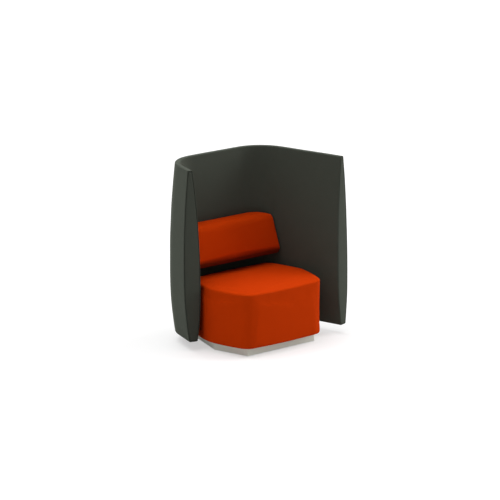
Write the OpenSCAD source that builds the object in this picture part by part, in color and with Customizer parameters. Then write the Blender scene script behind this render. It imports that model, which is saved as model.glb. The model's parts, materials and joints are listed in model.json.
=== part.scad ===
// Acoustic high back lounge chair: an upholstered six-sided seat and a hung
// back cushion inside a tall, lens-section screen, all on one low plinth.
// Millimetres, +Z up, the sitter faces -Y. The origin is on the floor under
// the middle of the chair's bounding box.

/* [Seat] */
// Width across the two front corners, before rounding
seat_front_w = 676; // [600:2:720]
// Width across the two middle corners, the widest line
seat_mid_w = 864; // [820:2:880]
// Depth from the widest line forward to the front edge
seat_front_d = 320; // [260:2:380]
// Depth from the widest line back to the rear edge
seat_rear_d = 305; // [270:2:320]
// Height of the upholstered top at its edge
seat_top_z = 452; // [400:1:480]
// Rise of the crowned top in its middle
seat_crown = 9; // [0:1:20]
// Radius of the two front corners in plan
seat_front_r = 98; // [50:1:110]
// Radius of the two middle corners in plan
seat_mid_r = 240; // [80:1:260]
// Radius of the two rear corners in plan
seat_rear_r = 90; // [50:1:100]
// Radius of the soft top edge
seat_top_r = 26; // [8:1:36]
// Radius of the soft bottom edge
seat_bottom_r = 14; // [4:1:20]
// Outward bow of the front and rear sides
front_bow = 13; // [0:1:20]
// Outward bow of the four slanted sides
side_bow = 6; // [0:1:10]
// How far the sides are drawn in at mid height
side_draw = 3; // [0:0.5:6]
// Thickness of the padded cover on the timber box
cover_t = 28; // [26:1:34]
// Thickness of the foam block under the top
foam_t = 82; // [60:1:110]

/* [Plinth] */
// Height of the plinth boards' top edge above the floor
plinth_top_z = 66; // [50:1:110]
// Set-back of the plinth from the seat's sides
plinth_inset = 53; // [30:1:80]
// Gap between the floor and the plinth boards
floor_gap = 6; // [4:0.5:12]

/* [Timber] */
// Thickness of all boards
board_t = 18; // [15:1:25]
// Width of the rim of the base board and the deck
rim_w = 95; // [60:1:120]
// Leg of the seat's triangular corner blocks
block_leg = 60; // [40:1:90]
// Leg of the plinth's triangular corner blocks
plinth_block_leg = 92; // [80:1:120]

/* [Webbing] */
// Width of a strap
web_w = 50; // [30:1:70]
// Thickness of a strap
web_t = 2; // [1:0.5:3]
// Distance between strap centres
web_pitch = 92; // [80:1:140]

/* [Screen] */
// Gap between the seat's middle corners and the wings' thickest level
side_gap = 27.8; // [20:0.2:60]
// Gap between the seat's rear side and the back's thickest level
rear_gap = 82.7; // [60:0.1:120]
// Outward splay of both wings, in degrees
wing_splay = 15.5; // [8:0.5:20]
// Radius of the screen's two corners at the board's middle
corner_r = 249; // [200:1:270]
// Left wing, from the corner's meeting point to its end at the top
left_wing_l = 368; // [340:1:460]
// Right wing, from the corner's meeting point to its end at the top
right_wing_l = 702; // [480:1:800]
// Height of the top edge above the floor
screen_top_z = 1274; // [1150:1:1400]
// Height of the thickest level above the floor
waist_z = 470; // [420:1:540]
// Thickness at the thickest level
waist_t = 122.6; // [110:0.2:126]
// Thickness at the top edge
top_t = 34; // [32:1:50]
// Thickness at the bottom edge
bottom_t = 62; // [50:1:80]
// Exponent of the lens-shaped section
fullness = 2.2; // [1.8:0.1:2.6]
// How far the top leans outwards against the bottom
screen_lean = 9; // [0:1:12]
// How much further forward the wing ends reach at the bottom
end_rake = 26; // [0:1:50]
// Radius of the top and bottom edges
screen_edge_r = 8; // [2:1:12]
// Height of the edge strips, and thickness of the end panels
strip_t = 10; // [10:1:16]

/* [Back cushion] */
// Height of its underside above the floor
lumbar_z = 545; // [520:1:600]
// Height of the cushion
lumbar_h = 264; // [240:1:320]
// Depth at the bottom
lumbar_bottom_d = 200; // [170:1:220]
// Depth at the top
lumbar_top_d = 126; // [104:1:140]
// Gap between its ends and the wings
lumbar_end_gap = 11; // [8:1:40]
// Radius of the top front edge
lumbar_top_r = 32; // [15:1:34]
// Radius of the rolled bottom front edge
lumbar_bottom_r = 36; // [15:1:40]
// How far the top falls towards the ends
lumbar_fall = 10; // [0:1:24]
// Forward crown of the front face
lumbar_crown = 6; // [0:1:20]
// Thickness of the plywood board in its back
lumbar_board_t = 12; // [9:1:15]

/* [Fixings] */
// Diameter of the round link arms
arm_d = 32; // [25:1:38]
// Wall of the link arms
arm_wall = 3; // [2:0.5:4]
// Diameter of the arms' end flanges
flange_d = 74; // [68:1:80]
// Thickness of the flanges
flange_t = 4; // [3:0.5:6]
// Height of the link arms' middle above the floor
arm_z = 262; // [200:1:280]
// Distance of each rear arm inwards from the screen's curved corner
rear_arm_inset = 47; // [42:1:80]
// Distance of each side arm from the end of the screen's curved corner
side_arm_x = 90; // [60:1:105]
// Radius of the large bolts' shanks
bolt_r = 4; // [3:0.5:5]
// Radius of the small screws' shanks
screw_r = 3; // [2:0.5:3]
// Travel of the levelling glides
glide_travel = 10; // [5:1:14]
// Radius of a glide's foot
glide_r = 16; // [14:1:22]
// Height of a glide's foot
glide_h = 6; // [4:0.5:10]

/* [Hidden] */
$fn = 48;

// Clearances
soft_gap = 0.3;
bore_gap = 0.1;
thread_gap = 0.05;
arm_gap = 1;
shank_gap = 1;
head_gap = 2;
tip_gap = 2;
cut_over = 1;

// Wing directions in plan: along the right wing, and out of it
wing_dir = [sin(wing_splay), -cos(wing_splay)];
wing_out = [cos(wing_splay), sin(wing_splay)];

// Seat corners counter-clockwise from front left. The rear sides run
// parallel to the wings.
seat_rear_w = seat_mid_w - 2 * seat_rear_d * tan(wing_splay);
seat_pts = [
    [-seat_front_w / 2, -seat_front_d], [seat_front_w / 2, -seat_front_d],
    [seat_mid_w / 2, 0], [seat_rear_w / 2, seat_rear_d],
    [-seat_rear_w / 2, seat_rear_d], [-seat_mid_w / 2, 0]
];
seat_radii = [seat_front_r, seat_front_r, seat_mid_r, seat_rear_r, seat_rear_r, seat_mid_r];
seat_bows = [front_bow, side_bow, side_bow, front_bow, side_bow, side_bow];

// Middles of the screen's boards: the wings on the seat's widest line, and
// the back
screen_half_w = seat_mid_w / 2 + (side_gap + waist_t / 2) / wing_out.x;
screen_back_y = seat_rear_d + front_bow + rear_gap + waist_t / 2;

// The plinth follows the seat in front and runs back under the screen, whose
// back board stands on its rear board.
plinth_rear_y = screen_back_y + board_t / 2;
plinth_reach = plinth_rear_y + plinth_inset;
plinth_rear_w = seat_mid_w - 2 * plinth_reach * tan(wing_splay);
plinth_pts = inset_poly([
    seat_pts[0], seat_pts[1], seat_pts[2],
    [plinth_rear_w / 2, plinth_reach], [-plinth_rear_w / 2, plinth_reach],
    seat_pts[5]
], same(plinth_inset, 6));

// Screen corner: centre of its curve, and the straight lengths beyond it
corner_y = screen_back_y - corner_r;
corner_x = (screen_half_w * wing_out.x - corner_r - wing_out.y * corner_y) / wing_out.x;
corner_cut = corner_r * tan((90 - wing_splay) / 2);
left_run = left_wing_l - corner_cut;
right_run = right_wing_l - corner_cut;
screen_h = screen_top_z - plinth_top_z;
rake_angle = atan(end_rake / screen_h);
core_z = plinth_top_z + strip_t;
core_h = screen_h - 2 * strip_t;

// Place of the seat's axis in the frame, from the chair's outer reach
seat_x = -wing_dir.x * (right_wing_l - left_wing_l) / 2;
seat_y = (seat_front_d + front_bow - screen_back_y - waist_t / 2) / 2;

// Levels of the seat's build-up
foam_top_z = seat_top_z - cover_t;
web_z = foam_top_z - foam_t - 2 * web_t - 2 * soft_gap;
deck_z = web_z - board_t;
carcass_z = plinth_top_z + board_t;
box_inset = cover_t + soft_gap;

dust_cover_t = 1;
dust_gap = 2;
web_sets = 3;

// Openings in the core boards
window_w = 100;
window_rail = 80;
window_r = 25;
window_count = 3;

// Back cushion
lumbar_top_z = lumbar_z + lumbar_h;
lumbar_back_y = screen_back_y - waist_t / 2 - soft_gap;
lumbar_side = (screen_half_w * wing_out.x - waist_t / 2 - lumbar_end_gap) / wing_out.x;
lumbar_corner = [lumbar_side - lumbar_back_y * tan(wing_splay), lumbar_back_y];
lumbar_end_r = 28;
lumbar_fall_power = 12;
lumbar_low_end_r = 8;
lumbar_low_rear_r = 5;
lumbar_top_rear_r = 6;
lumbar_top_crown = 4;
lumbar_clear = 4;
least_r = 2;
lumbar_front_corner_r = 14;
lumbar_back_skin = 2;
lumbar_board_y = lumbar_back_y - lumbar_back_skin - lumbar_board_t;
lumbar_bolt_x = corner_x - rear_arm_inset;
lumbar_bolt_edge = 40;
lumbar_board_side = 55;
lumbar_board_w = 2 * (lumbar_bolt_x + lumbar_board_side);
lumbar_board_h = 170;
lumbar_board_r = 20;
lumbar_board_rise = 45;
lumbar_board_z = lumbar_z + lumbar_board_rise;
lumbar_bolt_z = [
    lumbar_board_z + lumbar_bolt_edge, lumbar_board_z + lumbar_board_h - lumbar_bolt_edge
];
cushion_nut_r = 5.5;

// Fixings
arm_screw_circle_r = (arm_d + flange_d) / 4;
arm_screw_l = board_t - tip_gap;
screw_head_r = 1.7 * screw_r;
screw_head_h = 3;
bolt_head_r = 2 * bolt_r;
bolt_head_h = 6;
dowel_r = 5;
dowel_l = 60;
dowel_count = 5;
nut_flange_r = 12;
nut_flange_t = 1.5;
nut_barrel_r = 6.5;
nut_barrel_l = 12;
nut_z = glide_h + soft_gap;
plinth_block_z = nut_z + nut_flange_t;
stud_z = glide_h / 2;
foot_chamfer = 1.5;
foot_slope_w = 4;
foot_slope_h = 1;
stud_spare = 16;
stud_l = nut_barrel_l + glide_travel + stud_spare;
base_bolt_inset = 32;
base_bolt_z = floor_gap + head_gap;
base_bolt_spare = 8;
base_bolt_x = [-corner_x + base_bolt_inset, 0, corner_x - base_bolt_inset];
barrel_nut_r = 6;
barrel_nut_rise = 45;
barrel_nut_z = core_z + barrel_nut_rise;
rear_arm_x = corner_x - rear_arm_inset;

// Colours, as fabric, timber, foam and metal
screen_cloth = [0.24, 0.25, 0.22];
seat_cloth = [0.80, 0.20, 0.02];
foam_color = [0.88, 0.84, 0.70];
ply_color = [0.78, 0.64, 0.45];
plinth_color = [0.82, 0.80, 0.74];
steel_color = [0.55, 0.56, 0.58];
black_color = [0.10, 0.10, 0.10];

// Plan geometry
function same(v, n) = [for (i = [0 : n - 1]) v];
function unit(v) = v / norm(v);
function left_of(v) = [-v.y, v.x];
function meet(p, u, q, v) = p + u * (cross(q - p, v) / cross(u, v));
function side_dir(p, i) = unit(p[(i + 1) % len(p)] - p[i % len(p)]);
function prev(i, n) = (i + n - 1) % n;

// Corners of polygon p with side i moved inwards by d[i]
function inset_poly(p, d) = let(n = len(p)) [
    for (i = [0 : n - 1])
        let(u = side_dir(p, prev(i, n)), v = side_dir(p, i))
        meet(p[i] + left_of(u) * d[prev(i, n)], u, p[i] + left_of(v) * d[i], v)
];

// Half the change of heading that a side's bow makes at its ends
function bow_angle(p, bows, i) =
    atan(4 * bows[i] / norm(p[(i + 1) % len(p)] - p[i]));

// Point at share f of the rounded corner i
function corner_point(p, rs, bows, i, f) = let(
    n = len(p), h = prev(i, n), u = side_dir(p, h), v = side_dir(p, i), r = rs[i],
    c = meet(p[i] + left_of(u) * r, u, p[i] + left_of(v) * r, v),
    a = atan2(-left_of(u).y, -left_of(u).x) + bow_angle(p, bows, h),
    turn = acos(u * v) - bow_angle(p, bows, h) - bow_angle(p, bows, i),
    t = a + f * turn
) c + r * [cos(t), sin(t)];

// Rounded and bowed outline: na steps a corner, ns steps a side
function outline(p, rs, bows, na, ns) = let(n = len(p)) [
    for (i = [0 : n - 1]) let(
        a = corner_point(p, rs, bows, i, 1),
        b = corner_point(p, rs, bows, (i + 1) % n, 0),
        out = -left_of(side_dir(p, i))
    ) each concat(
        [for (k = [0 : na]) corner_point(p, rs, bows, i, k / na)],
        [for (k = [1 : ns - 1]) let(t = k / ns) a + (b - a) * t + out * 4 * bows[i] * t * (1 - t)]
    )
];

function raise(pts, z) = [for (p = pts) [p.x, p.y, z]];
function shrink(ring, k, c, dz) = [
    for (p = ring) [c.x + (p.x - c.x) * k, c.y + (p.y - c.y) * k, p.z + dz]
];

// Closed skin through rings of equal count, with a fan at each end
module skin(rings, low, high) {
    n = len(rings[0]);
    m = len(rings);
    pts = concat([for (r = rings) each r], [low, high]);
    sides = [
        for (i = [0 : m - 2], j = [0 : n - 1])
            let(a = i * n + j, b = i * n + (j + 1) % n)
            each [[a, a + n, b + n], [a, b + n, b]]
    ];
    caps = [
        for (j = [0 : n - 1])
            let(k = (j + 1) % n)
            each [[m * n, j, k], [m * n + 1, (m - 1) * n + k, (m - 1) * n + j]]
    ];
    polyhedron(pts, concat(sides, caps), convexity = 4);
}

// Half thickness of the screen at height z, and how far its middle leans out
function half_t(z) = let(
    up = z > waist_z,
    u = up ? (z - waist_z) / (screen_top_z - waist_z)
           : (waist_z - z) / (waist_z - plinth_top_z)
) waist_t / 2 - (waist_t / 2 - (up ? top_t : bottom_t) / 2) * pow(max(u, 0), fullness);
function lean(z) = screen_lean * ((z - plinth_top_z) / screen_h - 0.5);
function screen_face(z, side) = side * half_t(z) + lean(z);

function reversed(v) = [for (i = [len(v) - 1 : -1 : 0]) v[i]];

// Lens-shaped surface of one side, from the bottom strip up to the top strip
function pad_curve(side, steps = 18) = [
    for (k = [0 : steps]) let(z = core_z + core_h * k / steps) [screen_face(z, side), z]
];

// Rounded top or bottom edge of one side, from its face to its flat
function edge_curve(side, up, steps = 4) = let(
    z = up ? screen_top_z - screen_edge_r : plinth_top_z + screen_edge_r
) [
    for (k = [0 : steps]) let(a = 90 * k / steps) [
        screen_face(z, side) + side * screen_edge_r * (cos(a) - 1),
        z + (up ? 1 : -1) * screen_edge_r * sin(a)
    ]
];

// Sections of one pad, of the edge strip at the top or bottom, of the timber
// core, and of the whole screen for its end panels
module pad_section(side) {
    flat = side * board_t / 2;
    polygon(concat([[flat, core_z]], pad_curve(side), [[flat, core_z + core_h]]));
}

module strip_section(up) {
    z = up ? core_z + core_h : core_z;
    polygon(concat(
        [[screen_face(z, 1), z]], edge_curve(1, up),
        reversed(edge_curve(-1, up)), [[screen_face(z, -1), z]]
    ));
}

module core_section() translate([-board_t / 2, core_z]) square([board_t, core_h]);

module full_section() polygon(concat(
    reversed(edge_curve(1, false)), pad_curve(1), edge_curve(1, true),
    reversed(edge_curve(-1, true)), reversed(pad_curve(-1)), edge_curve(-1, false)
));

// Places: the chair's axis, and the right wing, where +X runs forward along
// the wing and +Y points out of the screen
module at_seat() translate([seat_x, seat_y, 0]) children();
module at_wing()
    translate([corner_x + corner_r * wing_out.x, corner_y + corner_r * wing_out.y, 0])
        rotate([0, 0, wing_splay - 90])
            children();
module at_side(right) mirror([right ? 0 : 1, 0, 0]) children();
module run(l) rotate([90, 0, 90]) linear_extrude(l, convexity = 4) children();

// Everything past the raked end of a wing of straight length l
module past_end(l)
    translate([l, 0, screen_top_z]) rotate([0, -rake_angle, 0])
        translate([0, -waist_t, -screen_h - waist_t])
            cube([2 * waist_t, 2 * waist_t, screen_h + 2 * waist_t]);

module wing(l) difference() {
    run(l + 2 * end_rake) children();
    past_end(l);
}

module corner_sweep()
    translate([corner_x, corner_y, 0]) rotate([0, 0, wing_splay])
        rotate_extrude(angle = 90 - wing_splay, convexity = 4, $fn = 96)
            translate([corner_r, 0]) children();

// A section swept along both wings, both corners and the back
module screen_sweep() {
    translate([-corner_x, screen_back_y, 0]) run(2 * corner_x) children();
    for (right = [true, false]) at_side(right) {
        corner_sweep() children();
        at_wing() wing((right ? right_run : left_run) - strip_t) children();
    }
}

// Seat
module seat_form() {
    function ring(e, z) =
        raise(outline(inset_poly(seat_pts, same(e, 6)), [for (r = seat_radii) r - e], seat_bows, 4, 4), z);
    z0 = plinth_top_z + soft_gap;
    side_h = seat_top_z - seat_top_r - z0 - seat_bottom_r;
    low = [
        for (a = [-90 : 30 : -30])
            ring(seat_bottom_r * (1 - cos(a)), z0 + seat_bottom_r * (1 + sin(a)))
    ];
    middle = [
        for (t = [0 : 0.25 : 1])
            ring(side_draw * 4 * t * (1 - t), z0 + seat_bottom_r + side_h * t)
    ];
    high = [
        for (a = [22.5 : 22.5 : 90])
            ring(seat_top_r * (1 - cos(a)), seat_top_z - seat_top_r * (1 - sin(a)))
    ];
    edge = high[len(high) - 1];
    crown = [for (k = [0.85, 0.62, 0.35]) shrink(edge, k, [0, 0], seat_crown * (1 - k * k))];
    skin(concat(low, middle, high, crown), [0, 0, z0], [0, 0, seat_top_z + seat_crown]);
}

module seat_prism(inset, z, h, pts = seat_pts)
    translate([0, 0, z]) linear_extrude(h) polygon(inset_poly(pts, same(inset, 6)));

module seat_cover() color(seat_cloth) at_seat() difference() {
    seat_form();
    seat_prism(cover_t, 0, foam_top_z);
    arm_holes();
}

module seat_foam() color(foam_color) at_seat()
    seat_prism(box_inset, foam_top_z - foam_t - soft_gap, foam_t);

module seat_webbing() color(black_color) at_seat() intersection() {
    union() {
        for (k = [-web_sets : web_sets])
            translate([-seat_mid_w, k * web_pitch - web_w / 2, web_z]) cube([2 * seat_mid_w, web_w, web_t]);
        for (k = [-web_sets : web_sets])
            translate([k * web_pitch - web_w / 2, -seat_mid_w, web_z + web_t + soft_gap])
                cube([web_w, 2 * seat_mid_w, web_t]);
    }
    seat_prism(box_inset + rim_w / 3, web_z, 3 * web_t);
}

module rim_board(z) difference() {
    seat_prism(box_inset, z, board_t);
    seat_prism(box_inset + rim_w, z - cut_over, board_t + 2 * cut_over);
}

module seat_deck() color(ply_color) at_seat() rim_board(deck_z);

module base_board() color(ply_color) at_seat() difference() {
    rim_board(plinth_top_z);
    plinth_screw_places() cylinder(r = screw_r + bore_gap, h = plinth_top_z + board_t + cut_over);
}

// Cloth under the seat's base, cut out round the plinth's blocks
module dust_cover() color(black_color) at_seat() difference() {
    seat_prism(plinth_inset + board_t + dust_gap, plinth_top_z - dust_cover_t, dust_cover_t);
    for (i = [0 : 5])
        corner_block(plinth_pts, i, board_t - cut_over, plinth_block_leg + 3 * dust_gap,
            floor_gap, plinth_top_z);
}

// One mitred board along side i of a polygon
module side_board(pts, i, inset, z, h) {
    outer = inset_poly(pts, same(inset, 6));
    inner = inset_poly(pts, same(inset + board_t, 6));
    j = (i + 1) % 6;
    translate([0, 0, z]) linear_extrude(h) polygon([outer[i], outer[j], inner[j], inner[i]]);
}

module carcass_board(i) color(ply_color) at_seat() difference() {
    side_board(seat_pts, i, box_inset, carcass_z, deck_z - carcass_z);
    arm_screw_holes();
}

module seat_center_rail() color(ply_color) at_seat() {
    front = seat_front_d - box_inset - board_t;
    rear = seat_rear_d - box_inset - board_t;
    translate([-board_t / 2, -front, carcass_z]) cube([board_t, front + rear, deck_z - carcass_z]);
}

// Triangular glue block in corner i
module corner_block(pts, i, inset, leg, z, h) {
    c = inset_poly(pts, same(inset, 6));
    u = side_dir(c, i);
    v = side_dir(c, prev(i, 6));
    translate([0, 0, z]) linear_extrude(h) polygon([c[i], c[i] + u * leg, c[i] - v * leg]);
}

module carcass_blocks() color(ply_color) at_seat()
    for (i = [0 : 5])
        corner_block(seat_pts, i, box_inset + board_t, block_leg, carcass_z, deck_z - carcass_z);

// Plinth
module plinth_board(i) color(plinth_color) at_seat() difference() {
    side_board(plinth_pts, i, 0, floor_gap, plinth_top_z - floor_gap);
    base_bolt_places() {
        cylinder(r = bolt_r + bore_gap, h = plinth_top_z + cut_over);
        cylinder(r = bolt_head_r + bore_gap, h = base_bolt_z + bolt_head_h);
    }
}

// Point inside the plinth block in corner i where a glide or screw goes
function block_point(i, share) = let(
    c = inset_poly(plinth_pts, same(board_t, 6))
) c[i] + (side_dir(c, i) - side_dir(c, prev(i, 6))) * plinth_block_leg * share;

// Corners that carry glides, counter-clockwise from front left
glide_corners = [0, 1, 3, 4];

module glide_places()
    for (i = glide_corners) translate(concat(block_point(i, 0.3), 0)) children();

module plinth_screw_places()
    for (i = [0, 1, 2, 5]) translate(concat(block_point(i, 0.12), 0)) children();

module plinth_blocks() color(ply_color) at_seat() difference() {
    for (i = [0 : 5])
        corner_block(plinth_pts, i, board_t, plinth_block_leg, plinth_block_z,
            plinth_top_z - plinth_block_z);
    glide_places() {
        cylinder(r = nut_barrel_r + bore_gap, h = plinth_block_z + nut_barrel_l);
        cylinder(r = bolt_r + shank_gap, h = plinth_top_z + cut_over);
    }
    plinth_screw_places() {
        cylinder(r = screw_r + bore_gap, h = plinth_top_z + cut_over);
        cylinder(r = screw_head_r + bore_gap, h = plinth_block_z + screw_head_h);
    }
}

module plinth_screws() color(steel_color) at_seat() plinth_screw_places() {
    translate([0, 0, plinth_block_z]) cylinder(r = screw_head_r, h = screw_head_h);
    translate([0, 0, plinth_block_z])
        cylinder(r = screw_r, h = plinth_top_z - plinth_block_z + board_t - 2 * tip_gap);
}

module glide_nuts() color(steel_color) at_seat() glide_places() difference() {
    union() {
        translate([0, 0, nut_z]) cylinder(r = nut_flange_r, h = nut_flange_t);
        translate([0, 0, nut_z]) cylinder(r = nut_barrel_r, h = nut_flange_t + nut_barrel_l);
    }
    cylinder(r = bolt_r + thread_gap, h = nut_z + nut_flange_t + nut_barrel_l + cut_over);
}

// Glide k: a plastic foot with a worn edge radius, on a threaded stud
module at_glide(k) at_seat() translate(concat(block_point(glide_corners[k], 0.3), 0)) children();

module glide_foot(k) color(black_color) at_glide(k) difference() {
    union() {
        cylinder(r1 = glide_r - foot_chamfer, r2 = glide_r, h = foot_chamfer);
        translate([0, 0, foot_chamfer])
            cylinder(r = glide_r, h = glide_h - foot_chamfer - foot_slope_h);
        translate([0, 0, glide_h - foot_slope_h])
            cylinder(r1 = glide_r, r2 = glide_r - foot_slope_w, h = foot_slope_h);
    }
    translate([0, 0, stud_z]) cylinder(r = bolt_r + thread_gap, h = glide_h);
}

module glide_stud(k) color(steel_color) at_glide(k)
    translate([0, 0, stud_z]) cylinder(r = bolt_r, h = stud_l);

// Screen
module window(w, h, r) {
    square([w - 2 * r, h], center = true);
    square([w, h - 2 * r], center = true);
    for (x = [-1, 1], y = [-1, 1]) translate([x * (w / 2 - r), y * (h / 2 - r)]) circle(r);
}

// Openings, one above the other, that lighten a core board
module windows(x) {
    h = (core_h - window_rail) / window_count - window_rail;
    for (k = [0 : window_count - 1])
        translate([x, board_t, core_z + window_rail + h / 2 + k * (h + window_rail)])
            rotate([90, 0, 0]) linear_extrude(2 * board_t) window(window_w, h, window_r);
}

// Dowels across the two joints of one corner
module dowel_places(l)
    for (k = [0 : dowel_count - 1]) {
        z = core_z + core_h * (k + 0.5) / dowel_count;
        translate([corner_x, screen_back_y, z]) rotate([0, 90, 0])
            cylinder(r = l[0], h = l[1], center = true);
        at_wing() translate([0, 0, z]) rotate([0, 90, 0]) cylinder(r = l[0], h = l[1], center = true);
    }
dowel_size = [dowel_r, dowel_l];
dowel_bore = [dowel_r + thread_gap, dowel_l + shank_gap];

module screen_back_core() color(ply_color) at_seat() difference() {
    translate([-corner_x, screen_back_y, 0]) run(2 * corner_x) core_section();
    translate([0, screen_back_y, 0]) windows(0);
    for (right = [true, false]) at_side(right) dowel_places(dowel_bore);
    base_bolt_places()
        cylinder(r = bolt_r + bore_gap, h = barrel_nut_z + barrel_nut_r + 2 * base_bolt_spare);
    base_bolt_places() translate([0, 0, barrel_nut_z]) rotate([90, 0, 0])
        cylinder(r = barrel_nut_r + bore_gap, h = 2 * board_t, center = true);
    cushion_bolt_places() cylinder(r = bolt_r + bore_gap, h = 2 * waist_t, center = true);
    arm_screw_holes();
}

module wing_core(right) color(ply_color) at_seat() difference() {
    l = (right ? right_run : left_run) - strip_t;
    at_side(right) difference() {
        at_wing() difference() {
            wing(l) core_section();
            if (right) windows((l + side_arm_x + flange_d / 2) / 2);
        }
        dowel_places(dowel_bore);
    }
    arm_screw_holes();
}

module corner_core(right) color(ply_color) at_seat() at_side(right) difference() {
    corner_sweep() core_section();
    dowel_places(dowel_bore);
}

module screen_dowels() color(ply_color) at_seat()
    for (right = [true, false]) at_side(right) dowel_places(dowel_size);

module screen_outer_pad() color(screen_cloth) at_seat() difference() {
    screen_sweep() pad_section(1);
    cushion_bolt_places() cylinder(r = bolt_head_r + head_gap, h = board_t / 2 + bolt_head_h + head_gap);
}

module screen_inner_pad() color(screen_cloth) at_seat() difference() {
    screen_sweep() pad_section(-1);
    cushion_bolt_places() cylinder(r = bolt_r + shank_gap, h = 2 * waist_t, center = true);
    arm_holes();
}

module screen_top_strip() color(screen_cloth) at_seat()
    screen_sweep() strip_section(true);

module screen_bottom_strip() color(screen_cloth) at_seat() difference() {
    screen_sweep() strip_section(false);
    base_bolt_places() cylinder(r = bolt_r + bore_gap, h = core_z + cut_over);
}

module screen_end(right) color(screen_cloth) at_seat() at_side(right) at_wing() difference() {
    l = right ? right_run : left_run;
    wing(l) full_section();
    difference() {
        translate([-cut_over, -waist_t, 0])
            cube([l + waist_t, 2 * waist_t, screen_top_z + cut_over]);
        past_end(l - strip_t);
    }
}

// Bolts up through the plinth's rear board into barrel nuts in the back board
module base_bolt_places()
    for (x = base_bolt_x) translate([x, screen_back_y, 0]) children();

module screen_base_bolts() color(steel_color) at_seat() base_bolt_places() {
    translate([0, 0, base_bolt_z]) cylinder(r = bolt_head_r, h = bolt_head_h);
    translate([0, 0, base_bolt_z])
        cylinder(r = bolt_r, h = barrel_nut_z + barrel_nut_r + base_bolt_spare - base_bolt_z);
}

module screen_barrel_nuts() color(steel_color) at_seat() difference() {
    base_bolt_places() translate([0, 0, barrel_nut_z]) rotate([90, 0, 0])
        cylinder(r = barrel_nut_r, h = board_t, center = true);
    base_bolt_places() cylinder(r = bolt_r + thread_gap, h = barrel_nut_z + barrel_nut_r + cut_over);
}

// Link arms between the seat's box and the screen's boards. Each place puts
// +Z along the arm, from the seat's board at 0 to the screen's board.
rear_arm_l = screen_back_y - board_t / 2 - seat_rear_d + box_inset;
side_arm_l = (screen_half_w - seat_mid_w / 2) * wing_out.x - board_t / 2 + box_inset;

module at_rear_arm() translate([rear_arm_x, seat_rear_d - box_inset, arm_z]) rotate([-90, 0, 0]) children();
module at_side_arm()
    at_wing() translate([side_arm_x, -board_t / 2 - side_arm_l, arm_z]) rotate([-90, 0, 0]) children();

module arm(l) difference() {
    union() {
        cylinder(d = arm_d, h = l);
        cylinder(d = flange_d, h = flange_t);
        translate([0, 0, l - flange_t]) cylinder(d = flange_d, h = flange_t);
    }
    translate([0, 0, -cut_over]) {
        cylinder(d = arm_d - 2 * arm_wall, h = l + 2 * cut_over);
        screw_circle() cylinder(r = screw_r + bore_gap, h = l + 2 * cut_over);
    }
}

module screw_circle() for (a = [90, 210, 330]) rotate(a) translate([arm_screw_circle_r, 0, 0]) children();

module each_arm() for (right = [true, false]) at_side(right) {
    at_rear_arm() { $l = rear_arm_l; children(); }
    at_side_arm() { $l = side_arm_l; children(); }
}

// Ways for the arms through the covers, wider where the flanges lie
module arm_holes() each_arm() {
    depth = flange_t + screw_head_h + arm_gap;
    cylinder(r = arm_d / 2 + arm_gap, h = $l + cut_over);
    translate([0, 0, -arm_gap]) cylinder(r = flange_d / 2 + arm_gap, h = depth + arm_gap);
    translate([0, 0, $l - depth]) cylinder(r = flange_d / 2 + arm_gap, h = depth + cut_over);
}
module arm_screw_holes() each_arm() screw_circle()
    translate([0, 0, -board_t - cut_over])
        cylinder(r = screw_r + bore_gap, h = $l + 2 * (board_t + cut_over));

module arm_screws() color(steel_color) at_seat() each_arm() screw_circle() {
    translate([0, 0, -arm_screw_l]) cylinder(r = screw_r, h = arm_screw_l + flange_t);
    translate([0, 0, flange_t]) cylinder(r = screw_head_r, h = screw_head_h);
    translate([0, 0, $l - flange_t]) cylinder(r = screw_r, h = arm_screw_l + flange_t);
    translate([0, 0, $l - flange_t - screw_head_h]) cylinder(r = screw_head_r, h = screw_head_h);
}

module rear_arm(right) color(black_color) at_seat() at_side(right) at_rear_arm() arm(rear_arm_l);
module side_arm(right) color(black_color) at_seat() at_side(right) at_side_arm() arm(side_arm_l);

// Back cushion. Its front is raked, its ends run along the wings and its rear
// corners follow the screen's curved corners.
function lumbar_front_y(z) = let(t = (z - lumbar_z) / lumbar_h)
    lumbar_back_y - lumbar_bottom_d * (1 - t) - lumbar_top_d * t;

// Rear corner radius that keeps clear of the screen's curve at height z
function lumbar_rear_r(z) = let(
    reach = norm(lumbar_corner - [corner_x, corner_y]),
    room = corner_r + screen_face(z, -1) - lumbar_clear
) (reach - room) / (1 / cos((90 - wing_splay) / 2) - 1);

function lumbar_ring(z, front_e, end_e, rear_e) = let(
    y = lumbar_front_y(z),
    x = lumbar_side - y * tan(wing_splay),
    p = inset_poly(
        [[-x, y], [x, y], lumbar_corner, [-lumbar_corner.x, lumbar_corner.y]],
        [front_e, end_e, rear_e, end_e]
    ),
    front_r = max(lumbar_front_corner_r - front_e, least_r),
    rear_r = lumbar_rear_r(z) - end_e,
    t = (z - lumbar_z) / lumbar_h,
    bows = [lumbar_crown * (0.4 + 2.4 * t * (1 - t)), 0, 0, 0]
) [
    for (q = outline(p, [front_r, front_r, rear_r, rear_r], bows, 4, 12))
        let(fall = lumbar_fall / lumbar_h * pow(abs(q.x) / x, lumbar_fall_power))
        [q.x, q.y, lumbar_z + (z - lumbar_z) * (1 - fall)]
];

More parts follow.
